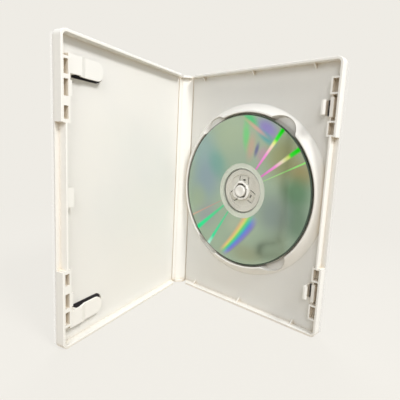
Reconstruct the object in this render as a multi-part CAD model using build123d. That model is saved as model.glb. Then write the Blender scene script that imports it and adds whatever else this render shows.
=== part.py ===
from build123d import *
from math import cos, radians, sin
import os

# Game disc case in millimetres. It is modelled lying open and flat, then folded and stood on its bottom edges.
# Each panel has its own frame: x from its hinge line to the opening edge, y up the case, z inwards from the outer face.

# Whole case
case_height = 190.0
panel_length = 136.0
closed_thickness = 14.0
closing_gap = 0.3
rest_fold = 53.0            # degrees each panel is folded from flat

# Mouldings
skin = 1.2
rim_wall = 1.8
corner_radius = 4.0
inner_corner_radius = 2.6
outer_edge_round = 0.7
rim_edge_round = 0.35
half_depth = (closed_thickness - closing_gap) / 2
spine_half = closed_thickness / 2

# Living hinges
hinge_bead = 0.35
hinge_slit = 0.1
mitre_clearance = 0.15
hinge_gap = hinge_bead + hinge_slit

# Spine
spine_end_depth = 4.2
spine_rail_offset = 3.6
spine_rail_width = 0.5
spine_rail_height = 0.35
spine_gusset = 2.2
pin_mark_radius = 1.0
pin_mark_depth = 0.25
pin_mark_heights = (67.0, 125.0)

# Thumb recess in both opening edges
recess_low = 50.5
recess_wall_inset = 3.2
recess_wall = 1.5
recess_corner = 1.4

# Latch on the opening edge: spans are measured down from the top edge, and the lower half is the mirror image
latch_wall = 1.2
upper_pocket = (12.0, 23.2)
lower_pocket = (40.0, 50.2)
tray_pocket_depth = 5.2
tray_pocket_top = 6.2
tongue_span = (26.6, 36.0)
tongue_stem_inset = 11.0
tongue_stem = 1.2
tongue_top = 8.7
tongue_nose = 1.5
tongue_nose_drop = 1.5
tongue_slot = 3.0
tongue_slot_margin = 0.6
backstop_inset = 6.6
backstop_thickness = 2.4
backstop_margin = 1.6
backstop_top = 5.6
cover_block = (14.3, 50.9)
cover_block_width = 4.8
cover_block_wall = 1.5
cover_upper_pocket = (15.8, 24.1)
cover_lower_pocket = (41.4, 48.8)
latch_reach = 1.4
latch_ledge_thickness = 1.2
latch_side_clearance = 0.25

# Booklet clips on the cover: the lower one, measured from the bottom edge and in from the opening edge
clip_root = (12.3, 23.0)
clip_root_inset = 16.2
clip_lobe = (12.1, 23.5)
clip_tip_inset = 35.0
clip_lobe_round = 4.8
clip_neck_round = 1.6
clip_thickness = 1.4
clip_root_top = 6.2
clip_lobe_top = 5.1
clip_slope_length = 3.5
clip_foot_inset = 12.3
window_tip_margin = 3.6
window_side_margin = 0.9
window_end_round = 5.5
stop_tab_height = 95.5
stop_tab_width = 11.5
stop_tab_reach = 4.6
stop_tab_thickness = 1.3
stop_tab_top = 6.4

# Disc
disc_radius = 60.0
disc_thickness = 1.2
disc_hole_radius = 7.5
disc_place = 64.0
disc_height = 95.9
disc_seat = 5.4
disc_edge_bevel = 0.15
stacking_ring_radius = 17.2
stacking_ring_width = 0.9
stacking_ring_rise = 0.15
disc_clearance = 0.05

# Wall round the disc
ring_clearance = 1.3
ring_crest = 6.7
ring_crest_width = 1.3
ring_foot_width = 7.4
ring_crest_bevel = 0.35
ring_hinge_limit = 1.6
notch_angles = (57.0, 123.0, 237.0, 303.0)
notch_centre = 56.0
notch_low_radius = 10.8
notch_high_radius = 12.9
notch_floor = 1.5
gusset_insets = (21.0, 71.0, 122.0)
gusset_width = 0.9
gusset_length = 3.6
gusset_top = 5.4

# Hub
seat_inner_radius = 13.1
seat_outer_radius = 16.9
seat_taper = 1.1
seat_edge_bevel = 0.25
web_low = 3.4
web_high = 4.6
collar_radius = 7.2
collar_top = 7.6
button_radius = 4.6
button_top = 8.9
button_wall = 1.0
button_edge_bevel = 0.45
button_dimple_edge = 3.0
button_dimple_floor = 1.3
button_dimple_depth = 0.5
hairline = 0.15
finger_angles = (90.0, 210.0, 330.0)
finger_narrow_side = 2.9
finger_wide_side = 4.6
finger_even_side = 3.5
open_slit = 0.8
slit_inner_radius = 5.5
slit_outer_radius = 11.5
joined_radius = 8.0
finger_pivot_radius = 12.6
finger_pivot_depth = 4.0
finger_root = 0.6
finger_root_length = 0.8
finger_end_gap = 0.4
finger_bead = 0.3
lip_reach = 0.75
lip_half_width = 2.4
lip_height = 0.6
lip_rise = 0.7
finger_top = 8.2
finger_lean = 0.85
core_hole_low = 8.0
core_hole_high = 9.4
core_hole_half_width = 1.4

# Clear sleeve
film = 0.15
film_end_margin = 2.0
film_flange = 1.3
film_hinge_margin = 0.7
film_corner_radius = 2.0

mid_height = case_height / 2
recess_high = case_height - recess_low
disc_top = disc_seat + disc_thickness
inner_edge = panel_length - rim_wall
recess_face = panel_length - recess_wall_inset
tongue_place = panel_length - tongue_stem_inset
clip_tip = panel_length - clip_tip_inset
clip_root_end = panel_length - clip_root_inset
clip_foot_start = panel_length - clip_foot_inset


def block(low, high):
    """A box between two corners."""
    size = [b - a for a, b in zip(low, high)]
    return Pos(*low) * Box(*size, align=(Align.MIN, Align.MIN, Align.MIN))


def down_from_top(span):
    """A span measured down from the top edge, as its low and high heights."""
    return case_height - span[1], case_height - span[0]


def both_halves(shape):
    """The shape and its mirror image about the middle of the case's height."""
    return [shape, mirror(shape, about=Plane.XZ.offset(-mid_height))]


def prism_along_height(points, low, high):
    """A closed outline of (x, z) points, drawn out along the case's height."""
    face = make_face(Plane.XZ * Polyline(*points, close=True))
    return Pos(0, low, 0) * extrude(face, amount=high - low, dir=(0, 1, 0))


def mitre(depth):
    """Distance from the hinge line that a piece keeps at this depth, so that the case can close."""
    return max(hinge_gap, depth - hinge_bead + mitre_clearance)


def panel_shell():
    """One half of the case: a skin with a rim wall, open and mitred at its hinge side."""
    outline = Rectangle(panel_length, case_height, align=(Align.MIN, Align.MIN))
    outline = fillet(outline.vertices().group_by(Axis.X)[-1], corner_radius)
    shell = extrude(outline, half_depth)
    outer_edges = shell.faces().sort_by(Axis.Z)[0].edges().sort_by(Axis.X)[1:]
    shell = fillet(outer_edges, outer_edge_round)

    inside = Rectangle(inner_edge + half_depth, case_height - 2 * rim_wall, align=(Align.MIN, Align.CENTER))
    inside = fillet(inside.vertices().group_by(Axis.X)[-1], inner_corner_radius)
    shell -= Pos(-half_depth, mid_height, skin) * extrude(inside, half_depth)
    rim_edges = shell.faces().sort_by(Axis.Z)[-1].edges().sort_by(Axis.X)[2:]
    shell = fillet(rim_edges, rim_edge_round)

    above = half_depth + skin
    relief = [
        (-half_depth, -skin),
        (hinge_gap, -skin),
        (hinge_gap, hinge_gap + hinge_bead - mitre_clearance),
        (mitre(above), above),
        (-half_depth, above),
    ]
    return shell - prism_along_height(relief, -skin, case_height + skin)


def thumb_recess(shell):
    """Sets the opening wall back between the latches, so that a thumb can reach the skins' edges."""
    cut = Rectangle(recess_wall_inset + corner_radius, recess_high - recess_low, align=(Align.MIN, Align.CENTER))
    cut = fillet(cut.vertices().group_by(Axis.X)[0], recess_corner)
    shell -= Pos(recess_face, mid_height, skin) * extrude(cut, half_depth)
    set_back = block(
        (recess_face - recess_wall, recess_low - latch_wall, skin / 2),
        (recess_face, recess_high + latch_wall, half_depth),
    )
    shell += fillet(set_back.edges().group_by(Axis.Z)[-1].filter_by(Axis.Y), rim_edge_round)
    return shell


def disc_frame():
    """The disc's centre on the panel's outer face."""
    return Pos(disc_place, disc_height, 0)


def turned(points):
    """A closed outline of (radius, depth) points, turned about the disc's axis."""
    return revolve(make_face(Plane.XZ * Polyline(*points, close=True)), Axis.Z)


def disc_ring():
    """The wall round the disc: upright inside, sloped outside, with four finger notches."""
    inner = disc_radius + ring_clearance
    ring = turned([
        (inner, skin / 2),
        (inner + ring_foot_width, skin / 2),
        (inner + ring_foot_width, skin),
        (inner + ring_crest_width, ring_crest),
        (inner, ring_crest),
    ])
    crest = ring.edges().filter_by(GeomType.CIRCLE).group_by(Axis.Z)[-1]
    ring = chamfer(crest, ring_crest_bevel)
    scoop_height = ring_crest - notch_floor
    scoop = Cone(
        notch_low_radius, notch_high_radius, scoop_height, align=(Align.CENTER, Align.CENTER, Align.MIN))
    for angle in notch_angles:
        ring -= Rot(Z=angle) * Pos(notch_centre, 0, notch_floor) * scoop
    return ring


def finger_plans():
    """Each hub finger: its direction, its width left and right of it, and which of its sides is an open slit."""
    near, far = button_radius + hairline, slit_inner_radius
    narrow, wide, even = finger_narrow_side, finger_wide_side, finger_even_side
    top, left, right = finger_angles
    upper = {"angle": top, "inner": far, "left": narrow, "right": wide, "left_open": False, "right_open": True}
    middle = {"angle": left, "inner": near, "left": even, "right": even, "left_open": True, "right_open": True}
    lower = {"angle": right, "inner": far, "left": wide, "right": narrow, "left_open": True, "right_open": False}
    return [upper, middle, lower]


def finger_room(plan):
    """What the hub's web leaves out round one finger: a hairline all round, and the open slits."""
    end = finger_pivot_radius + finger_bead
    room = block((0, -plan["right"] - hairline, 0), (end, plan["left"] + hairline, closed_thickness))
    for side, half_width in ((1, plan["left"]), (-1, plan["right"])):
        start = slit_inner_radius if plan["left_open" if side > 0 else "right_open"] else joined_radius
        near, far = sorted((side * half_width, side * (half_width + open_slit)))
        slit = block((start, near, 0), (slit_outer_radius, far, closed_thickness))
        room += fillet(slit.edges().filter_by(Axis.Z).group_by(Axis.X)[-1], open_slit / 3)
    return Rot(Z=plan["angle"]) * room


def finger_nose(plan):
    """The rounded end of the web that a finger's thin root bends at."""
    low, high = -plan["right"] + hairline, plan["left"] - hairline
    web = block(
        (finger_pivot_radius, low, finger_pivot_depth - finger_bead),
        (seat_inner_radius + hairline, high, finger_pivot_depth + finger_bead),
    )
    bead = Cylinder(finger_bead, high - low, rotation=(90, 0, 0))
    bead = Pos(finger_pivot_radius, (low + high) / 2, finger_pivot_depth) * bead
    return Rot(Z=plan["angle"]) * (web + bead)


def hub_base():
    """The seat ring under the disc, and the slotted web and collar inside it."""
    seat_top = disc_seat - disc_clearance
    seat = turned([
        (seat_inner_radius, skin / 2),
        (seat_outer_radius + seat_taper, skin / 2),
        (seat_outer_radius + seat_taper, skin),
        (seat_outer_radius, seat_top),
        (seat_inner_radius, seat_top),
    ])
    top_edges = seat.edges().filter_by(GeomType.CIRCLE).group_by(Axis.Z)[-1]
    seat = chamfer(top_edges, seat_edge_bevel)
    web = turned([
        (slit_inner_radius, web_low),
        (seat_inner_radius + hairline, web_low),
        (seat_inner_radius + hairline, web_high),
        (collar_radius, web_high),
        (collar_radius, collar_top - rim_edge_round),
        (collar_radius - rim_edge_round, collar_top),
        (slit_inner_radius, collar_top),
    ])
    bridge = turned([
        (button_radius + hairline, web_low),
        (collar_radius, web_low),
        (collar_radius, collar_top - rim_edge_round),
        (slit_inner_radius, collar_top),
        (button_radius + hairline, collar_top),
    ])
    bridge &= Rot(Z=finger_angles[1] - 180) * block((0, -open_slit - button_radius, 0), (seat_inner_radius, button_radius, closed_thickness))
    web += bridge
    for plan in finger_plans():
        web -= finger_room(plan)
    for plan in finger_plans():
        web += finger_nose(plan)
    return seat + web


def finger_lip():
    """The lip on a finger's post, narrow enough to swing in under the disc's hole when the finger bends."""
    tip = collar_radius + lip_reach
    low = disc_top + hairline
    lip = turned([
        (collar_radius - lip_reach, low),
        (collar_radius, low),
        (tip, low + lip_height),
        (tip, low + lip_height + lip_rise / 2),
        (collar_radius, finger_top - hairline),
        (collar_radius - lip_reach, finger_top - hairline),
    ])
    return lip & block((0, -lip_half_width, 0), (finger_pivot_radius, lip_half_width, closed_thickness))


def hub_finger(plan):
    """A latch finger: a thin root, a flat web, and a leaning post with a lip that holds the disc down."""
    inner = plan["inner"]
    root_start = finger_pivot_radius - finger_end_gap
    root_inner = root_start - finger_root_length
    profile = [
        (inner, web_low),
        (inner, web_high),
        (inner + finger_lean, finger_top),
        (collar_radius, finger_top - hairline),
        (collar_radius, web_high),
        (root_inner, web_high),
        (root_inner, finger_pivot_depth + finger_root / 2),
        (seat_inner_radius, finger_pivot_depth + finger_root / 2),
        (seat_inner_radius, finger_pivot_depth - finger_root / 2),
        (root_inner, finger_pivot_depth - finger_root / 2),
        (root_inner, web_low),
    ]
    span = block((0, -plan["right"], 0), (root_start, plan["left"], closed_thickness))
    bore = Cylinder(seat_inner_radius - hairline, closed_thickness, align=(Align.CENTER, Align.CENTER, Align.MIN))
    finger = (turned(profile) & span & bore) + finger_lip()
    middle = (plan["left"] - plan["right"]) / 2
    core_hole = block(
        (core_hole_low, middle - core_hole_half_width, 0),
        (core_hole_high, middle + core_hole_half_width, closed_thickness),
    )
    return Rot(Z=plan["angle"]) * (finger - core_hole)


def hub_button():
    """The dished push button, a cap hollow from behind."""
    return turned([
        (0, button_top - button_wall),
        (button_radius - button_wall, button_top - button_wall),
        (button_radius - button_wall, web_low),
        (button_radius, web_low),
        (button_radius, button_top - button_edge_bevel),
        (button_radius - button_edge_bevel, button_top),
        (button_dimple_edge, button_top),
        (button_dimple_floor, button_top - button_dimple_depth),
        (0, button_top - button_dimple_depth),
    ])


def game_disc():
    """The disc: a bevelled plate with its centre hole and the raised stacking ring on its data side."""
    disc = turned([
        (disc_hole_radius, disc_seat),
        (disc_radius - disc_edge_bevel, disc_seat),
        (disc_radius, disc_seat + disc_edge_bevel),
        (disc_radius, disc_top - disc_edge_bevel),
        (disc_radius - disc_edge_bevel, disc_top),
        (stacking_ring_radius + stacking_ring_width / 2, disc_top),
        (stacking_ring_radius, disc_top + stacking_ring_rise),
        (stacking_ring_radius - stacking_ring_width / 2, disc_top),
        (disc_hole_radius, disc_top),
    ])
    return disc


def tray_latch():
    """The tray's upper latch: two open pockets, a backstop, and the snap tongue."""
    pieces = []
    pocket_start = inner_edge - tray_pocket_depth
    for low, high in (down_from_top(upper_pocket), down_from_top(lower_pocket)):
        frame = block((pocket_start, low, skin / 2), (inner_edge + rim_edge_round, high, tray_pocket_top))
        hollow = block(
            (pocket_start + latch_wall, low + latch_wall, skin),
            (inner_edge, high - latch_wall, closed_thickness),
        )
        pieces.append(frame - hollow)
    tongue_low, tongue_high = down_from_top(tongue_span)
    backstop_start = panel_length - backstop_inset
    backstop = block(
        (backstop_start, tongue_low - backstop_margin, skin / 2),
        (backstop_start + backstop_thickness, tongue_high + backstop_margin, backstop_top),
    )
    pieces.append(fillet(backstop.edges().group_by(Axis.Z)[-1].filter_by(Axis.Y), rim_edge_round))
    web = block(
        (backstop_start, down_from_top(lower_pocket)[1] - latch_wall, skin / 2),
        (backstop_start + latch_wall, down_from_top(upper_pocket)[0] + latch_wall, backstop_top - latch_wall),
    )
    pieces.append(web)
    stem_end = tongue_place + tongue_stem
    nose_low = tongue_top - tongue_nose_drop
    profile = [
        (tongue_place, skin / 2),
        (stem_end, skin / 2),
        (stem_end, nose_low),
        (stem_end + tongue_nose, nose_low + tongue_nose_drop / 3),
        (stem_end + tongue_nose, nose_low + tongue_nose_drop / 2),
        (stem_end, tongue_top),
        (tongue_place, tongue_top),
    ]
    pieces.append(prism_along_height(profile, tongue_low, tongue_high))
    return pieces


def tongue_hole():
    """The slot through the skin under the tongue's nose."""
    start = tongue_place + tongue_stem
    low, high = down_from_top(tongue_span)
    return block(
        (start, low - tongue_slot_margin, -skin),
        (start + tongue_slot, high + tongue_slot_margin, 2 * skin),
    )


def wall_gussets():
    """Small ribs that brace the tray's top and bottom walls."""
    pieces = []
    for inset in gusset_insets:
        profile = Plane.YZ * Polyline(
            (case_height - rim_wall, skin),
            (case_height - rim_wall - gusset_length, skin),
            (case_height - rim_wall, gusset_top),
            close=True,
        )
        rib = extrude(make_face(profile), amount=gusset_width, dir=(1, 0, 0))
        pieces += both_halves(Pos(panel_length - inset, 0, 0) * rib)
    return pieces


def back_tray():
    """The back half: the shell with the disc ring, the hub base and the tongue side of the latch."""
    tray = thumb_recess(panel_shell())
    ring_limit = block(
        (ring_hinge_limit, rim_wall, 0),
        (recess_face - recess_wall / 2, case_height - rim_wall, closed_thickness),
    )
    tray += (disc_frame() * disc_ring()) & ring_limit
    tray -= disc_frame() * Cylinder(seat_inner_radius, 4 * skin)
    tray += disc_frame() * hub_base()
    for piece in tray_latch():
        for half in both_halves(piece):
            tray += half
    for rib in wall_gussets():
        tray += rib
    for hole in both_halves(tongue_hole()):
        tray -= hole
    return tray


def clip_outline():
    """The lower clip from the front: a square root and a rounded lobe."""
    root = Pos(clip_root_end, clip_root[0]) * Rectangle(
        inner_edge - clip_root_end, clip_root[1] - clip_root[0], align=(Align.MIN, Align.MIN))
    lobe_end = clip_root_end + clip_neck_round
    lobe = Rectangle(lobe_end - clip_tip, clip_lobe[1] - clip_lobe[0], align=(Align.MIN, Align.MIN))
    lobe = fillet(lobe.vertices().group_by(Axis.X)[0], clip_lobe_round)
    lobe = fillet(lobe.vertices().group_by(Axis.X)[-1], clip_neck_round)
    return root + Pos(clip_tip, clip_lobe[0]) * lobe


def booklet_clip():
    """The lower booklet clip: a springy tab held off the skin by its foot, stepping down to its lobe."""
    root_low = clip_root_top - clip_thickness
    lobe_low = clip_lobe_top - clip_thickness
    slope_end = clip_root_end - clip_slope_length
    foot_end = inner_edge - cover_block_width + cover_block_wall / 2
    profile = [
        (foot_end, clip_root_top),
        (clip_root_end, clip_root_top),
        (slope_end, clip_lobe_top),
        (clip_tip, clip_lobe_top),
        (clip_tip, lobe_low),
        (slope_end, lobe_low),
        (clip_root_end, root_low),
        (clip_foot_start, root_low),
        (clip_foot_start, skin / 2),
        (foot_end, skin / 2),
    ]
    return prism_along_height(profile, 0, mid_height) & extrude(clip_outline(), closed_thickness)


def clip_window():
    """The hole through the skin behind the lower clip, a little larger than its lobe."""
    low, high = clip_lobe[0] - window_side_margin, clip_lobe[1] + window_side_margin
    start = clip_tip - window_tip_margin
    hole = Rectangle(clip_foot_start - start, high - low, align=(Align.MIN, Align.MIN))
    hole = fillet(hole.vertices().group_by(Axis.X)[0], window_end_round)
    return Pos(start, low, -skin) * extrude(hole, 3 * skin)


def cover_latch():
    """The cover's upper latch: a thick edge with two pockets, and the ledge that the tongue snaps under."""
    start = inner_edge - cover_block_width
    low, high = down_from_top(cover_block)
    tongue_low, tongue_high = down_from_top(tongue_span)
    edge = block((start, low, skin / 2), (inner_edge + rim_edge_round, high, half_depth))
    tongue_room = (tongue_low, tongue_high)
    for bottom, top in (down_from_top(cover_upper_pocket), down_from_top(cover_lower_pocket), tongue_room):
        edge -= block((start + cover_block_wall, bottom, skin), (inner_edge, top, closed_thickness))
    ledge = block(
        (start - latch_reach, tongue_low + latch_side_clearance, half_depth - latch_ledge_thickness),
        (start + cover_block_wall, tongue_high - latch_side_clearance, half_depth),
    )
    return [edge, fillet(ledge.edges().group_by(Axis.X)[0].filter_by(Axis.Y), rim_edge_round)]


def stop_tab():
    """The small shelf in the middle of the cover's opening wall that keeps the booklet down."""
    inner = recess_face - recess_wall
    tab = block(
        (inner - stop_tab_reach, stop_tab_height - stop_tab_width / 2, stop_tab_top - stop_tab_thickness),
        (inner + recess_wall / 2, stop_tab_height + stop_tab_width / 2, stop_tab_top),
    )
    return fillet(tab.edges().group_by(Axis.X)[0].filter_by(Axis.Z), stop_tab_thickness / 2)


def front_cover():
    """The front half: the shell with the booklet clips and the ledge side of the latch."""
    cover = thumb_recess(panel_shell())
    for hole in both_halves(clip_window()):
        cover -= hole
    for piece in [booklet_clip(), *cover_latch()]:
        for half in both_halves(piece):
            cover += half
    return cover + stop_tab()


def spine():
    """The strip between the hinges, with a bead along each hinge line and a mitred wall at each end."""
    def half_width(depth):
        return spine_half - max(0.0, depth - hinge_bead + mitre_clearance)

    def strip(top, low, high):
        outline = [
            (-spine_half, 0),
            (spine_half, 0),
            (half_width(hinge_bead), hinge_bead),
            (half_width(top), top),
            (-half_width(top), top),
            (-half_width(hinge_bead), hinge_bead),
        ]
        return prism_along_height(outline, low, high)

    body = strip(skin, 0, case_height)
    for end in both_halves(strip(spine_end_depth, 0, rim_wall)):
        body += end
    for side in (-1, 1):
        bead = Cylinder(hinge_bead, case_height, rotation=(90, 0, 0))
        body += Pos(side * spine_half, mid_height, hinge_bead) * bead
    rail = block(
        (-spine_rail_offset, rim_wall / 2, skin / 2),
        (spine_rail_width - spine_rail_offset, case_height - rim_wall / 2, skin + spine_rail_height),
    )
    body += rail
    gusset = extrude(
        make_face(Plane.YZ * Polyline(
            (rim_wall, skin), (rim_wall + spine_gusset, skin), (rim_wall, skin + spine_gusset), close=True)),
        amount=spine_rail_width, dir=(1, 0, 0))
    for place in (-spine_rail_offset, spine_rail_offset - spine_rail_width):
        for rib in both_halves(Pos(place, 0, 0) * gusset):
            body += rib
    for height in pin_mark_heights:
        mark = Cylinder(pin_mark_radius, 2 * pin_mark_depth)
        body -= Pos(0, height, skin) * mark
    return body


def panel_film():
    """The clear sleeve over one panel, a thin sheet with a sealed flange past the opening edge."""
    sheet = Rectangle(
        panel_length + film_flange - film_hinge_margin,
        case_height - 2 * film_end_margin,
        align=(Align.MIN, Align.CENTER),
    )
    sheet = fillet(sheet.vertices().group_by(Axis.X)[-1], film_corner_radius)
    return Pos(film_hinge_margin, mid_height, -film) * extrude(sheet, film)


def spine_film():
    """The clear sleeve over the spine."""
    half_width = spine_half - film_hinge_margin / 2
    return block((-half_width, film_end_margin, -film), (half_width, case_height - film_end_margin, 0))


def folded(shape, side):
    """A panel's piece hung on its hinge line, folded by the rest angle: side 1 is the tray, -1 the cover."""
    lifted = Pos(0, 0, -hinge_bead) * shape
    if side < 0:
        lifted = mirror(lifted, about=Plane.YZ)
    return Pos(side * spine_half, 0, hinge_bead) * Rot(Y=-side * rest_fold) * lifted


def build_parts():
    """Every node, folded to its rest angle and stood up on the bottom edges."""
    tray_pieces = {
        "back_tray": back_tray(),
        "game_disc": disc_frame() * game_disc(),
        "hub_button": disc_frame() * hub_button(),
        "back_film": panel_film(),
    }
    for number, plan in enumerate(finger_plans(), 1):
        tray_pieces[f"hub_finger_{number}"] = disc_frame() * hub_finger(plan)
    cover_pieces = {"front_cover": front_cover(), "front_film": panel_film()}
    parts = {name: folded(shape, 1) for name, shape in tray_pieces.items()}
    parts |= {name: folded(shape, -1) for name, shape in cover_pieces.items()}
    parts |= {"spine": spine(), "spine_film": spine_film()}
    return {name: Rot(X=90) * shape for name, shape in parts.items()}


def centred(parts):
    """The parts moved so that the origin is under the middle of their box, with the shift."""
    box = Compound(children=[Compound(part.wrapped) for part in parts.values()]).bounding_box()
    shift = -(box.min.Y + box.max.Y) / 2
    return {name: Pos(0, shift, 0) * part for name, part in parts.items()}, shift


def report_places(shift):
    """Prints the places of the joints in the part's frame."""
    hinge_y = shift - hinge_bead
    fold = radians(rest_fold)
    along = (cos(fold), -sin(fold))
    inward = (-sin(fold), -cos(fold))

    def place(u, v, depth):
        x = spine_half + along[0] * u + inward[0] * (depth - hinge_bead)
        y = hinge_y + along[1] * u + inward[1] * (depth - hinge_bead)
        return [round(value, 4) for value in (x, y, v)]

    print("shift", round(shift, 4), "hinge", round(spine_half, 4), round(hinge_y, 4))
    print("inward", [round(value, 6) for value in inward], "along", [round(value, 6) for value in along])
    print("disc centre", place(disc_place, disc_height, disc_seat + disc_thickness / 2))
    for plan in finger_plans():
        angle = radians(plan["angle"])
        u = disc_place + finger_pivot_radius * cos(angle)
        v = disc_height + finger_pivot_radius * sin(angle)
        print("finger", plan["angle"], place(u, v, finger_pivot_depth))


os.makedirs("parts", exist_ok=True)
pieces, origin_shift = centred(build_parts())
for node, solid in pieces.items():
    export_step(solid, f"parts/{node}.step")
report_places(origin_shift)
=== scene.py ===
import math

import bmesh
import bpy
from mathutils import Matrix, Vector


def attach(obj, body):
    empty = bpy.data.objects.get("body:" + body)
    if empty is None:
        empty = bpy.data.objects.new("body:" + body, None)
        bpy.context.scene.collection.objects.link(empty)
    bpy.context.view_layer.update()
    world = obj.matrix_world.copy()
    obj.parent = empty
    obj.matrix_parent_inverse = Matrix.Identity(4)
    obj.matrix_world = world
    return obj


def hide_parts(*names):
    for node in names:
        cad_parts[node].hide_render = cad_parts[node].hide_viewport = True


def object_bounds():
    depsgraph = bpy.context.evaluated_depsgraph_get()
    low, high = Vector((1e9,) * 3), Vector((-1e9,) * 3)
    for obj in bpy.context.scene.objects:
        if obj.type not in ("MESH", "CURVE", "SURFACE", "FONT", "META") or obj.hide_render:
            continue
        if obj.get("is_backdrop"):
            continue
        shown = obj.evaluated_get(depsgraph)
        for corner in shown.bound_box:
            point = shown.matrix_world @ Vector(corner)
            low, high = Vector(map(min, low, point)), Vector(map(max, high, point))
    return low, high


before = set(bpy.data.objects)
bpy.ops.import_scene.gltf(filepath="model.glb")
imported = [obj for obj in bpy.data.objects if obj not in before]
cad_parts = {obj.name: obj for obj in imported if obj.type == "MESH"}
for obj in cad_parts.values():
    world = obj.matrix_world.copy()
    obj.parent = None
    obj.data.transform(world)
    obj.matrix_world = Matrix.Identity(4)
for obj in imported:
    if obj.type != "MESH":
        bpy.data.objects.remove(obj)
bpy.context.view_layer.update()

# The case's own measures in millimetres, as the solids have them.
# Panel places are u from the hinge to the opening edge, v up the case and depth in from the outer face.
case = {
    "height": 190.0, "fold": 53.0, "hingeX": 7.0, "hingeY": 55.943, "bead": 0.35,
}
disc = {
    "u": 64.0, "v": 95.9, "low": 5.4, "top": 6.6, "radius": 60.0, "hole": 7.5, "clear": 21.9, "mirrorEnd": 58.9,
    "stackRing": 17.2, "stackWidth": 0.9, "stackRise": 0.15, "bevel": 0.15,
    "lift": 0.02, "seam": 0.01, "steps": 160,
}
fold = math.radians(case["fold"])


def panelAxes(side):  # side 1 is the tray, -1 the cover
    along = Vector((side * math.cos(fold), -math.sin(fold), 0))
    inward = Vector((-side * math.sin(fold), -math.cos(fold), 0))
    return along, inward


def panelPoint(side, u, v, depth):
    along, inward = panelAxes(side)
    pivot = Vector((side * case["hingeX"], case["hingeY"], 0))
    place = pivot + along * u + inward * (depth - case["bead"])
    return Vector((place.x, place.y, v)) / 1000


def panelMatrix(side, u=0.0, v=0.0, depth=0.0):  # from a panel's own millimetres to the frame's metres
    along, inward = panelAxes(side)
    turn = Matrix((along, (0, 0, 1), inward)).transposed().to_4x4()
    return Matrix.Translation(panelPoint(side, u, v, depth)) @ turn @ Matrix.Scale(0.001, 4)


# Camera at the photograph's viewing angle
camera = {
    "place": (-41.141, -270.102, 130.095), "yaw": 10.197, "pitch": -8.732, "roll": 2.869,
    "focal": 355.207, "side": 400.0, "sensor": 36.0,
}
yaw, pitch, roll = (math.radians(camera[key]) for key in ("yaw", "pitch", "roll"))
forward = Vector((math.sin(yaw) * math.cos(pitch), math.cos(yaw) * math.cos(pitch), math.sin(pitch)))
level = Vector((math.cos(yaw), -math.sin(yaw), 0))
upward = level.cross(forward)
right = level * math.cos(roll) + upward * math.sin(roll)
top = upward * math.cos(roll) - level * math.sin(roll)
cameraData = bpy.data.cameras.new("camera")
cameraData.sensor_width = camera["sensor"]
cameraData.lens = camera["focal"] / camera["side"] * camera["sensor"]
cameraData.clip_start = 0.01
cameraObject = bpy.data.objects.new("camera", cameraData)
turn = Matrix((right, top, -forward)).transposed().to_4x4()
cameraObject.matrix_world = Matrix.Translation(Vector(camera["place"]) / 1000) @ turn
bpy.context.scene.collection.objects.link(cameraObject)
bpy.context.scene.camera = cameraObject
bpy.context.scene.view_settings.view_transform = "Standard"
print("camera placed")


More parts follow.
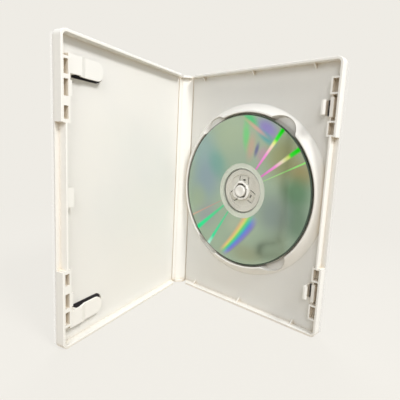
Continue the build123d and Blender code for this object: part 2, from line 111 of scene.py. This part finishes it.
# A material's node tree, with short calls for the nodes it is built from
class Shader:
    def __init__(self, name):
        self.material = bpy.data.materials.new(name)
        self.material.use_nodes = True
        self.tree = self.material.node_tree
        self.tree.nodes.clear()
        self.output = self.tree.nodes.new("ShaderNodeOutputMaterial")

    def node(self, kind, inputs=None, **settings):
        made = self.tree.nodes.new("ShaderNode" + kind)
        for key, value in settings.items():
            setattr(made, key, value)
        for key, value in (inputs or {}).items():
            if isinstance(value, bpy.types.NodeSocket):
                self.tree.links.new(value, made.inputs[key])
            else:
                made.inputs[key].default_value = value
        return made

    def math(self, operation, *values):
        made = self.node("Math", dict(enumerate(values)), operation=operation)
        return made.outputs[0]

    def dot(self, vector, direction):
        inputs = {0: vector, 1: tuple(direction)}
        return self.node("VectorMath", inputs, operation="DOT_PRODUCT").outputs["Value"]

    def smooth(self, value, low, high, start=0.0, end=1.0):
        inputs = {0: value, 1: low, 2: high, 3: start, 4: end}
        return self.node("MapRange", inputs, interpolation_type="SMOOTHSTEP").outputs[0]

    def mix(self, factor, first, second, blend="MIX"):
        made = self.node("Mix", {0: factor, 6: first, 7: second}, data_type="RGBA", blend_type=blend)
        return made.outputs[2]

    def noise(self, vector, scale, detail=2.0, roughness=0.5):
        inputs = {"Vector": vector, "Scale": scale, "Detail": detail, "Roughness": roughness}
        return self.node("TexNoise", inputs).outputs[0]

    def ramp(self, value, stops):
        made = self.node("ValToRGB", {0: value})
        elements = made.color_ramp.elements
        while len(elements) < len(stops):
            elements.new(1.0)
        for element, (place, colour) in zip(elements, stops):
            element.position = place
            element.color = (*colour, 1.0)
        return made.outputs[0]

    def bump(self, height, strength, distance, normal=None):
        inputs = {"Height": height, "Strength": strength, "Distance": distance}
        if normal:
            inputs["Normal"] = normal
        return self.node("Bump", inputs).outputs[0]

    def coordinates(self):
        return self.node("TexCoord").outputs["Object"]

    def panel(self, side, spot=None):  # millimetres along, up and inwards of a panel
        along, inward = panelAxes(side)
        pivot = Vector((side * case["hingeX"], case["hingeY"], 0)) / 1000
        spot = spot or self.coordinates()
        u = self.math("SUBTRACT", self.dot(spot, along * 1000), along.dot(pivot) * 1000)
        v = self.dot(spot, (0, 0, 1000))
        depth = self.math("SUBTRACT", self.dot(spot, inward * 1000), inward.dot(pivot) * 1000 - case["bead"])
        return u, v, depth

    def patch(self, flat, centre, reach, turn=0.0, edge=0.15):  # a soft oval: 1 in its middle, 0 outside
        inputs = {
            "Vector": flat, "Location": (*centre, 0), "Rotation": (0, 0, math.radians(turn)), "Scale": (*reach, 1),
        }
        placed = self.node("Mapping", inputs, vector_type="TEXTURE").outputs[0]
        away = self.node("VectorMath", {0: placed}, operation="LENGTH").outputs["Value"]
        return self.smooth(away, edge, 1.0, 1.0, 0.0)

    def finish(self, inputs):
        shader = self.node("BsdfPrincipled", inputs)
        self.tree.links.new(shader.outputs[0], self.output.inputs["Surface"])
        return self.material


# Moulded white plastic, with painted shade: warmer and darker deep in a corner, and greyer where the panels are
# thin, the tray's floor more than the cover's.
# Spans are millimetres, apart from those of the clouds and of the open share of the sky over a spot.
plastic = {
    "white": (0.885, 0.876, 0.838, 1.0), "cool": (0.86, 0.858, 0.828, 1.0),
    "clouds": 16.0, "cloudSpan": (0.35, 0.7), "cloudRough": 0.12, "roughness": 0.3, "ior": 1.49,
    "corner": (0.74, 0.64, 0.50, 1.0), "hubCornerShade": (0.66, 0.64, 0.58, 1.0), "hubSpan": (22.0, 32.0),
    "shadeReach": 0.007, "shadeShare": 0.75, "openSpan": (0.15, 0.85), "outerSpan": (0.2, 0.6),
    "thinCoverShade": (0.94, 0.94, 0.945, 1.0), "thinTrayShade": (0.875, 0.88, 0.885, 1.0), "thinShadeSpan": (1.3, 2.2),
    "sideSpan": (-0.005, 0.005),
    "grain": 2600.0, "grainBump": 0.04, "grainHeight": 0.0002, "waves": 45.0, "waveBump": 0.10, "waveHeight": 0.002,
}


def plasticMaterial(name):
    shader = Shader(name)
    spot = shader.coordinates()
    clouds = shader.noise(spot, plastic["clouds"], 3.0)
    colour = shader.mix(shader.smooth(clouds, *plastic["cloudSpan"]), plastic["white"], plastic["cool"])
    open_ = shader.node("AmbientOcclusion", {"Distance": plastic["shadeReach"]}, samples=4).outputs["AO"]
    hubAway = shader.smooth(discPlace(shader)[2], *plastic["hubSpan"])
    corner = shader.mix(hubAway, plastic["hubCornerShade"], plastic["corner"])
    x, y, z = shader.node("SeparateXYZ", {0: spot}).outputs
    folded = shader.node("CombineXYZ", {0: shader.math("ABSOLUTE", x), 1: y, 2: z}).outputs[0]
    depth = shader.panel(1, folded)[2]  # the same for both panels
    spineDepth = shader.math("MULTIPLY_ADD", y, -1000.0, case["hingeY"] + case["bead"])
    # No painted corner shade on the outer faces, where the sleeve lies close
    inside = shader.smooth(shader.math("MINIMUM", depth, spineDepth), *plastic["outerSpan"])
    # Painted shade: corners and creases darkened and warmed, greyer near the hub
    cornerShadeShare = shader.smooth(open_, *plastic["openSpan"], plastic["shadeShare"], 0.0)
    colour = shader.mix(shader.math("MULTIPLY", cornerShadeShare, inside), colour, corner)
    # Painted shade: the thin panel floors greyed, the tray's more than the cover's
    thinShade = shader.mix(shader.smooth(x, *plastic["sideSpan"]), plastic["thinCoverShade"], plastic["thinTrayShade"])
    colour = shader.mix(shader.smooth(depth, *plastic["thinShadeSpan"], 1.0, 0.0), colour, thinShade, "MULTIPLY")
    grain = shader.noise(spot, plastic["grain"], 2.0)
    waves = shader.noise(spot, plastic["waves"], 1.0)
    normal = shader.bump(waves, plastic["waveBump"], plastic["waveHeight"])
    normal = shader.bump(grain, plastic["grainBump"], plastic["grainHeight"], normal)
    roughFrom = plastic["roughness"] - plastic["cloudRough"] / 2
    rough = shader.math("MULTIPLY_ADD", clouds, plastic["cloudRough"], roughFrom)
    return shader.finish({"Base Color": colour, "Roughness": rough, "Normal": normal, "IOR": plastic["ior"]})


# The disc's data side: a mirror with a green cast, with painted reflections as soft colour patches and painted
# diffraction highlights as a rainbow band and narrow streaks.
# Patch places are millimetres from the disc's centre, along and up; streak stops are radii.
mirror = {
    "base": (0.42, 0.54, 0.43, 1.0), "roughness": 0.13, "drift": 22.0, "driftShade": 0.86,
    "grooves": 3.0, "grooveRough": 0.02, "coat": 0.25, "coatRoughness": 0.03,
    "warp": 9.0, "warpBump": 0.05, "warpHeight": 0.002,
    "reflectionPatches": [
        {"at": (-42, 30), "reach": (24, 30), "turn": 20, "colour": (0.33, 0.48, 0.50), "strength": 0.8},
        {"at": (-38, 6), "reach": (24, 30), "turn": -10, "colour": (0.30, 0.40, 0.50), "strength": 0.8},
        {"at": (-26, 20), "reach": (14, 20), "turn": 30, "colour": (0.17, 0.42, 0.38), "strength": 0.6},
        {"at": (-14, 44), "reach": (26, 22), "turn": 0, "colour": (0.46, 0.56, 0.40), "strength": 0.6},
        {"at": (36, 28), "reach": (24, 26), "turn": 30, "colour": (0.34, 0.36, 0.18), "strength": 0.85},
        {"at": (51, 17), "reach": (14, 14), "turn": 0, "colour": (0.36, 0.28, 0.10), "strength": 0.7},
        {"at": (48, 4), "reach": (18, 18), "turn": 0, "colour": (0.12, 0.26, 0.14), "strength": 0.85},
        {"at": (50, -16), "reach": (16, 26), "turn": 10, "colour": (0.14, 0.24, 0.16), "strength": 0.8},
        {"at": (30, -14), "reach": (22, 24), "turn": 0, "colour": (0.26, 0.33, 0.33), "strength": 0.8},
        {"at": (30, -42), "reach": (26, 18), "turn": 20, "colour": (0.26, 0.34, 0.26), "strength": 0.7},
        {"at": (8, -50), "reach": (22, 12), "turn": 0, "colour": (0.34, 0.37, 0.25), "strength": 0.7},
        {"at": (-36, -24), "reach": (18, 16), "turn": 30, "colour": (0.36, 0.39, 0.44), "strength": 0.7},
        {"at": (-46, -10), "reach": (14, 16), "turn": 0, "colour": (0.40, 0.50, 0.34), "strength": 0.6},
        {"at": (-5, -28), "reach": (12, 12), "turn": 0, "colour": (0.48, 0.56, 0.44), "strength": 0.6},
        {"at": (20, 49), "reach": (16, 9), "turn": -30, "colour": (0.30, 0.24, 0.66), "strength": 0.85},
        {"at": (20, 42), "reach": (13, 5), "turn": -35, "colour": (0.10, 0.42, 0.46), "strength": 0.8},
        {"at": (4, 56), "reach": (14, 6), "turn": -40, "colour": (0.08, 0.62, 0.24), "strength": 0.85},
        {"at": (9, 50), "reach": (20, 2.4), "turn": -33, "colour": (0.80, 0.44, 0.40), "strength": 0.7},
        {"at": (1.5, 43), "reach": (5, 17), "turn": 6, "colour": (0.16, 0.72, 0.24), "strength": 0.75},
        {"at": (6.5, 35), "reach": (6, 15), "turn": -6, "colour": (0.66, 0.42, 0.34), "strength": 0.65},
        {"at": (12, 33), "reach": (2.6, 8), "turn": -14, "colour": (0.14, 0.13, 0.36), "strength": 0.8},
        {"at": (17, 30), "reach": (6, 9), "turn": -30, "colour": (0.62, 0.30, 0.52), "strength": 0.5},
    ],
    "band": {
        "from": (12, -21), "to": (-14, -54), "halfWidth": 9.0, "bow": 0.003, "strength": 0.92, "taper": 0.62,
        "fade": (0.30, 0.50), "begins": (-6.0, 6.0), "ends": (-8.0, 4.0),
        "tones": [
            (0.06, (0.40, 0.50, 0.39)), (0.24, (0.86, 0.56, 0.30)), (0.34, (0.80, 0.80, 0.22)),
            (0.44, (0.16, 0.80, 0.22)), (0.54, (0.05, 0.62, 0.55)), (0.66, (0.14, 0.26, 0.90)),
            (0.80, (0.28, 0.24, 0.72)), (0.96, (0.26, 0.33, 0.33)),
        ],
    },
    "streakCore": 0.25,
    "highlightStreaks": [
        {"angle": 55.3, "width": 2.7, "stops": [
            (22, (0.80, 0.20, 0.66)), (36, (1.0, 0.36, 0.86)), (44, (1.0, 0.86, 0.62)),
            (47, (0.86, 1.0, 0.30)), (50, (0.05, 0.90, 0.05)), (57, (0.0, 0.80, 0.0))]},
        {"angle": 36.3, "width": 2.7, "stops": [
            (22, (0.80, 0.20, 0.66)), (36, (1.0, 0.36, 0.86)), (43, (1.0, 0.92, 0.72)),
            (49, (0.80, 1.0, 0.26)), (51, (0.05, 0.90, 0.05)), (57, (0.0, 0.80, 0.0))]},
        {"angle": 26.1, "width": 1.0, "stops": [(22, (0.45, 0.75, 0.36)), (57, (0.34, 0.86, 0.24))]},
        {"angle": 208.2, "width": 1.0, "stops": [(22, (0.55, 0.34, 0.34)), (57, (0.72, 0.46, 0.36))]},
        {"angle": 220.2, "width": 3.2, "stops": [(22, (0.16, 0.66, 0.36)), (57, (0.02, 0.90, 0.36))]},
        {"angle": 237.7, "width": 2.4, "stops": [
            (22, (0.16, 0.66, 0.36)), (50, (0.05, 0.84, 0.42)), (57, (0.50, 0.95, 0.85))]},
    ],
}


def shaded(colour, share):
    return tuple(share * tone for tone in colour[:3]) + (1.0,)


def discPlace(shader):  # millimetres from the disc's centre
    u, v, depth = shader.panel(1)
    x = shader.math("SUBTRACT", u, disc["u"])
    y = shader.math("SUBTRACT", v, disc["v"])
    flat = shader.node("CombineXYZ", {0: x, 1: y, 2: 0.0}).outputs[0]
    radius = shader.node("VectorMath", {0: flat}, operation="LENGTH").outputs["Value"]
    return x, y, radius, flat


def mirrorMaterial():
    shader = Shader("discMirror")
    x, y, radius, flat = discPlace(shader)
    angle = shader.math("DEGREES", shader.math("ARCTAN2", y, x))
    drift = shader.noise(shader.coordinates(), mirror["drift"], 2.0)
    colour = shader.mix(drift, mirror["base"], shaded(mirror["base"], mirror["driftShade"]))
    # Painted reflections: soft colour patches over the mirror
    for patch in mirror["reflectionPatches"]:
        weight = shader.patch(flat, patch["at"], patch["reach"], patch["turn"])
        colour = shader.mix(shader.math("MULTIPLY", weight, patch["strength"]), colour, (*patch["colour"], 1.0))
    # Painted diffraction highlights: the rainbow band, then the narrow streaks
    colour = rainbowHighlight(shader, flat, colour)
    for streak in mirror["highlightStreaks"]:
        span = shader.math("SUBTRACT", angle, streak["angle"])
        span = shader.math("ABSOLUTE", shader.math("WRAP", span, 180.0, -180.0))
        weight = shader.smooth(span, mirror["streakCore"] * streak["width"], streak["width"], 1.0, 0.0)
        stops = [(place / disc["radius"], tone) for place, tone in streak["stops"]]
        tone = shader.ramp(shader.math("DIVIDE", radius, disc["radius"]), stops)
        colour = shader.mix(weight, colour, tone)
    outward = shader.node("CombineXYZ", {0: radius}).outputs[0]
    grooves = shader.node("TexWave", {"Vector": outward, "Scale": mirror["grooves"]}).outputs[1]
    rough = shader.math("MULTIPLY_ADD", grooves, mirror["grooveRough"], mirror["roughness"])
    warp = shader.noise(shader.coordinates(), mirror["warp"], 1.0)
    return shader.finish({
        "Base Color": colour, "Roughness": rough, "Metallic": 1.0,
        "Coat Weight": mirror["coat"], "Coat Roughness": mirror["coatRoughness"],
        "Normal": shader.bump(warp, mirror["warpBump"], mirror["warpHeight"]),
    })


# Painted diffraction highlight: a bowed rainbow band across the mirror
def rainbowHighlight(shader, flat, colour):
    band = mirror["band"]
    start, end = Vector(band["from"]), Vector(band["to"])
    course = (end - start).normalized()
    across = Vector((-course.y, course.x))
    offset = shader.node("VectorMath", {0: flat, 1: (*start, 0)}, operation="SUBTRACT").outputs[0]
    onward = shader.dot(offset, (*course, 0))
    aside = shader.dot(offset, (*across, 0))
    length = (end - start).length
    middle = shader.math("MULTIPLY_ADD", onward, -1.0, length / 2)
    bent = shader.math("MULTIPLY_ADD", shader.math("MULTIPLY", middle, middle), band["bow"], aside)
    taper = shader.smooth(onward, 0.0, length, 1.0, band["taper"])
    place = shader.math("DIVIDE", bent, shader.math("MULTIPLY", taper, band["halfWidth"]))
    place = shader.math("MULTIPLY_ADD", place, 0.5, 0.5)
    tones = shader.ramp(place, band["tones"])
    span = shader.math("ABSOLUTE", shader.math("SUBTRACT", place, 0.5))
    inside = shader.smooth(span, *band["fade"], 1.0, 0.0)
    begun = shader.smooth(onward, *band["begins"])
    ended = shader.smooth(onward, length + band["ends"][0], length + band["ends"][1], 1.0, 0.0)
    weight = shader.math("MULTIPLY", inside, shader.math("MULTIPLY", begun, ended))
    return shader.mix(shader.math("MULTIPLY", weight, band["strength"]), colour, tones)


# The clear plastic round the disc's hole, cloudier past the stacking ring, and at its edge, dark and more opaque
# towards the opening edge as painted shade
clear = {
    "tint": (0.90, 0.97, 0.86, 1.0), "cloudSpan": (17.6, 18.4), "cloudAlpha": (0.05, 0.62),
    "edge": (0.05, 0.09, 0.06, 1.0), "edgeShadeSpan": (-20.0, 30.0), "edgeShadeAlpha": (0.3, 0.85),
    "roughness": 0.05, "haze": 120.0, "hazeShade": 0.9, "hazeRough": 0.04, "ior": 1.58,
}


def clearMaterial(name, tint, alpha):  # alpha is made from the distance aside and from the centre
    shader = Shader(name)
    haze = shader.noise(shader.coordinates(), clear["haze"], 2.0)
    x, y, radius, flat = discPlace(shader)
    return shader.finish({
        "Base Color": shader.mix(haze, tint, shaded(tint, clear["hazeShade"])),
        "Roughness": shader.math("MULTIPLY_ADD", haze, clear["hazeRough"], clear["roughness"]), "IOR": clear["ior"],
        "Alpha": alpha(shader, x, radius),
    })


def middleAlpha(shader, x, radius):
    return shader.smooth(radius, *clear["cloudSpan"], *clear["cloudAlpha"])


# Painted shade: the dark edge shows more towards the opening edge
def edgeShadeAlpha(shader, x, radius):
    return shader.smooth(x, *clear["edgeShadeSpan"], *clear["edgeShadeAlpha"])


# Clear sleeve; its depths and corner are millimetres
film = {
    "tint": (0.96, 0.97, 0.97, 1.0), "shade": (0.90, 0.92, 0.93, 1.0), "alpha": 0.14, "roughness": 0.08,
    "ripple": 30.0, "rippleRough": 0.06, "rippleBump": 0.12, "rippleHeight": 0.001,
    "corner": 2.0, "depths": (-0.15, -0.06),
}


def filmMaterial():
    shader = Shader("sleeveFilm")
    waves = shader.noise(shader.coordinates(), film["ripple"], 2.0)
    rough = shader.math("MULTIPLY_ADD", waves, film["rippleRough"], film["roughness"])
    return shader.finish({
        "Base Color": shader.mix(waves, film["tint"], film["shade"]), "Roughness": rough,
        "Alpha": film["alpha"], "Normal": shader.bump(waves, film["rippleBump"], film["rippleHeight"]),
    })


# Painted shade: dark sheets standing in for the dark seen through the openings
shadeSheet = {
    "colour": (0.012, 0.010, 0.014, 1.0), "worn": (0.03, 0.026, 0.032, 1.0), "roughness": 0.75,
    "fibres": 900.0, "fibreBump": 0.2, "fibreHeight": 0.0002, "thickness": 0.3, "lift": 0.05, "gap": 0.12,
}


def shadeSheetMaterial():
    shader = Shader("darkShadeSheet")
    fibres = shader.noise(shader.coordinates(), shadeSheet["fibres"], 3.0)
    colour = shader.mix(fibres, shadeSheet["colour"], shadeSheet["worn"])
    normal = shader.bump(fibres, shadeSheet["fibreBump"], shadeSheet["fibreHeight"])
    return shader.finish({"Base Color": colour, "Roughness": shadeSheet["roughness"], "Normal": normal})


def paint(node, material):
    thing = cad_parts[node]
    thing.data.materials.clear()
    thing.data.materials.append(material)


casePlastic = plasticMaterial("casePlastic")
sleeveFilm = filmMaterial()
darkShadeSheet = shadeSheetMaterial()
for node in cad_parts:
    if node.endswith("film"):
        paint(node, sleeveFilm)
    elif node != "game_disc":
        paint(node, casePlastic)
print("materials made")


meshing = {"weld": 1e-4, "sharp": 25.0, "cornerSegments": 8}


def newPiece(name, form, place, material, body):
    bmesh.ops.remove_doubles(form, verts=form.verts, dist=meshing["weld"])
    bmesh.ops.transform(form, matrix=place, verts=form.verts)
    bmesh.ops.recalc_face_normals(form, faces=form.faces)
    mesh = bpy.data.meshes.new(name)
    form.to_mesh(mesh)
    form.free()
    mesh.shade_smooth()
    mesh.set_sharp_from_angle(angle=math.radians(meshing["sharp"]))
    mesh.materials.append(material)
    piece = bpy.data.objects.new(name, mesh)
    bpy.context.scene.collection.objects.link(piece)
    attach(piece, body)
    return piece


# The disc in three pieces: its clear middle, the mirror, and its clear edge
def discPiece(name, profile, material):
    form = bmesh.new()
    corners = [form.verts.new((radius, 0, depth)) for radius, depth in profile]
    rim = [form.edges.new((a, b)) for a, b in zip(corners, corners[1:] + corners[:1])]
    bmesh.ops.spin(
        form, geom=corners + rim, cent=(0, 0, 0), axis=(0, 0, 1), dvec=(0, 0, 0),
        angle=2 * math.pi, steps=disc["steps"], use_merge=True, use_duplicate=False)
    piece = newPiece(name, form, panelMatrix(1, disc["u"], disc["v"]), material, "disc")
    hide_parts("game_disc")
    return piece


low, high, seam, bevel = disc["low"] + disc["lift"], disc["top"], disc["seam"], disc["bevel"]
ring, half = disc["stackRing"], disc["stackWidth"] / 2
discPiece("disc_clear_middle", [
    (disc["hole"], low + bevel), (disc["hole"] + bevel, low), (disc["clear"] - seam, low),
    (disc["clear"] - seam, high), (ring + half, high), (ring, high + disc["stackRise"]),
    (ring - half, high), (disc["hole"] + bevel, high), (disc["hole"], high - bevel),
], clearMaterial("discClear", clear["tint"], middleAlpha))
discPiece("disc_mirror", [
    (disc["clear"], low), (disc["mirrorEnd"], low), (disc["mirrorEnd"], high), (disc["clear"], high),
], mirrorMaterial())
edge = disc["radius"]
discPiece("disc_clear_edge", [
    (disc["mirrorEnd"] + seam, low), (edge - bevel, low), (edge, low + bevel), (edge, high - bevel),
    (edge - bevel, high), (disc["mirrorEnd"] + seam, high),
], clearMaterial("discEdge", clear["edge"], edgeShadeAlpha))
print("disc made")


# Painted shade: dark plates just inside the clip windows, the tongue slots and the hub's bore
openings = {
    "window": {"u": (97.4, 123.7), "v": (11.2, 24.4), "round": 5.5},
    "slot": {"u": (126.2, 129.2), "v": (153.4, 164.0), "round": 0.2},
    "bore": {"radius": 13.1, "segments": 64},
}


# A plate in a panel's millimetres, its two corners rounded at the far end (rounded 1) or the near one (-1)
def roundedPlate(name, place, span, rise, depths, corner, rounded, material, body):
    size = (span[1] - span[0], rise[1] - rise[0], depths[1] - depths[0])
    form = bmesh.new()
    bmesh.ops.create_cube(form, size=1.0, matrix=Matrix.Diagonal((*size, 1)))
    ends = [edge for edge in form.edges if all(vert.co.x * rounded > 0 for vert in edge.verts)
            and abs(edge.verts[0].co.z - edge.verts[1].co.z) > size[2] / 2]
    if corner:
        bmesh.ops.bevel(
            form, geom=ends, offset=corner, affect="EDGES",
            segments=meshing["cornerSegments"], profile=0.5, material=-1)
    place = place @ Matrix.Translation((sum(span) / 2, sum(rise) / 2, sum(depths) / 2))
    return newPiece(name, form, place, material, body)


def shadeSheetPlate(name, side, span, rise, corner, body):
    gap, low = shadeSheet["gap"], shadeSheet["lift"]
    roundedPlate(
        name, panelMatrix(side), (span[0] + gap, span[1] - gap), (rise[0] + gap, rise[1] - gap),
        (low, low + shadeSheet["thickness"]), corner, -1, darkShadeSheet, body)


for name, side, body, hole in (
        ("clip_shade_sheet", -1, "cover", openings["window"]),
        ("latch_shade_sheet", 1, "tray", openings["slot"])):
    low, high = hole["v"]
    mirrored = (case["height"] - high, case["height"] - low)
    lower, upper = sorted(((low, high), mirrored))
    shadeSheetPlate(name + "_lower", side, hole["u"], lower, hole["round"], body)
    shadeSheetPlate(name + "_upper", side, hole["u"], upper, hole["round"], body)

# Painted shade: a dark round plate in the hub's bore
form = bmesh.new()
radius = openings["bore"]["radius"] - shadeSheet["gap"]
bmesh.ops.create_cone(
    form, cap_ends=True, segments=openings["bore"]["segments"],
    radius1=radius, radius2=radius, depth=shadeSheet["thickness"])
hubPlace = panelMatrix(1, disc["u"], disc["v"], shadeSheet["lift"] + shadeSheet["thickness"] / 2)
newPiece("hub_shade_sheet", form, hubPlace, darkShadeSheet, "tray")
print("backing made")

# The clear sleeve's sheets, a hair off the case so that no two faces lie in one plane
turn = Matrix(((1, 0, 0), (0, 0, 1), (0, -1, 0))).transposed().to_4x4()
spineOuter = Vector((0, case["hingeY"] + case["bead"], 0)) / 1000
spineMatrix = Matrix.Translation(spineOuter) @ turn @ Matrix.Scale(0.001, 4)
for name, node, place, corner, body in (
        ("front_sleeve", "front_film", panelMatrix(-1), film["corner"], "cover"),
        ("back_sleeve", "back_film", panelMatrix(1), film["corner"], "tray"),
        ("spine_sleeve", "spine_film", spineMatrix, 0.0, "spine")):
    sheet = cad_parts[node]
    spots = [place.inverted() @ sheet.matrix_world @ vert.co for vert in sheet.data.vertices]
    span = (min(spot.x for spot in spots), max(spot.x for spot in spots))
    rise = (min(spot.y for spot in spots), max(spot.y for spot in spots))
    piece = roundedPlate(name, place, span, rise, film["depths"], corner, 1, sleeveFilm, body)
    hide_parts(node)
print("sleeve made")

# Floor, backdrop and light
studio = {
    "paper": (0.862, 0.838, 0.784, 1.0), "table": (0.50, 0.44, 0.35, 1.0), "shadowSpan": (0.12, 0.5), "shade": 0.88,
    "sky": (0.95, 0.97, 1.0, 1.0), "skyStrength": 0.45, "middle": (0, 0, 0.095),
    "floorDrop": 0.0002, "floorRadius": 6.0, "floorSegments": 96,
}


def floorMaterial():
    shader = Shader("floorPaper")
    rays = shader.node("LightPath")
    seen = shader.math("MAXIMUM", rays.outputs["Is Camera Ray"], rays.outputs["Is Glossy Ray"])
    seen = shader.math("MAXIMUM", seen, rays.outputs["Is Transmission Ray"])
    away = shader.node("VectorMath", {0: shader.coordinates()}, operation="LENGTH").outputs["Value"]
    plain = shader.node("Emission", {"Color": studio["paper"], "Strength": 1.0})
    lit = shader.node("BsdfDiffuse", {"Color": shader.mix(seen, studio["table"], studio["paper"])})
    share = shader.math("MULTIPLY", seen, shader.smooth(away, *studio["shadowSpan"], studio["shade"], 1.0))
    both = shader.node("MixShader", {0: share, 1: lit.outputs[0], 2: plain.outputs[0]})
    shader.tree.links.new(both.outputs[0], shader.output.inputs["Surface"])
    return shader.material


floorMesh = bpy.data.meshes.new("floor")
form = bmesh.new()
bmesh.ops.create_circle(form, cap_ends=True, segments=studio["floorSegments"], radius=studio["floorRadius"])
form.to_mesh(floorMesh)
form.free()
floorMesh.materials.append(floorMaterial())
floor = bpy.data.objects.new("floor", floorMesh)
floor.location.z = -studio["floorDrop"]
bpy.context.scene.collection.objects.link(floor)
floor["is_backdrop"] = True

world = bpy.data.worlds.new("studio")
bpy.context.scene.world = world
world.use_nodes = True
tree = world.node_tree
tree.nodes.clear()
rays = tree.nodes.new("ShaderNodeLightPath")
seen = None
for kind in ("Is Camera Ray", "Is Glossy Ray", "Is Transmission Ray"):
    if seen is None:
        seen = rays.outputs[kind]
        continue
    either = tree.nodes.new("ShaderNodeMath")
    either.operation = "MAXIMUM"
    tree.links.new(seen, either.inputs[0])
    tree.links.new(rays.outputs[kind], either.inputs[1])
    seen = either.outputs[0]
light = tree.nodes.new("ShaderNodeBackground")
light.inputs["Color"].default_value = studio["sky"]
light.inputs["Strength"].default_value = studio["skyStrength"]
back = tree.nodes.new("ShaderNodeBackground")
back.inputs["Color"].default_value = studio["paper"]
both = tree.nodes.new("ShaderNodeMixShader")
worldOut = tree.nodes.new("ShaderNodeOutputWorld")
tree.links.new(seen, both.inputs[0])
tree.links.new(light.outputs[0], both.inputs[1])
tree.links.new(back.outputs[0], both.inputs[2])
tree.links.new(both.outputs[0], worldOut.inputs["Surface"])

lamps = [
    {
        "name": "key", "towards": (0.36, -0.60, 0.71), "distance": 1.3, "size": 0.35,
        "watts": 12.0, "colour": (1.0, 0.99, 0.975),
    },
    {
        "name": "fill", "towards": (-0.20, -0.80, 0.56), "distance": 1.5, "size": 0.7,
        "watts": 6.8, "colour": (1.0, 0.99, 0.98),
    },
    {
        "name": "back", "towards": (0.10, 0.82, 0.56), "distance": 1.5, "size": 1.0,
        "watts": 9.0, "colour": (1.0, 0.99, 0.98),
    },
]
middle = Vector(studio["middle"])
for lamp in lamps:
    data = bpy.data.lights.new(lamp["name"], "AREA")
    data.shape = "DISK"
    data.size = lamp["size"]
    data.energy = lamp["watts"]
    data.color = lamp["colour"]
    thing = bpy.data.objects.new(lamp["name"], data)
    towards = Vector(lamp["towards"]).normalized()
    thing.location = middle + towards * lamp["distance"]
    thing.rotation_mode = "QUATERNION"
    thing.rotation_quaternion = towards.to_track_quat("Z", "Y")
    bpy.context.scene.collection.objects.link(thing)
print("light set")

low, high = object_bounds()
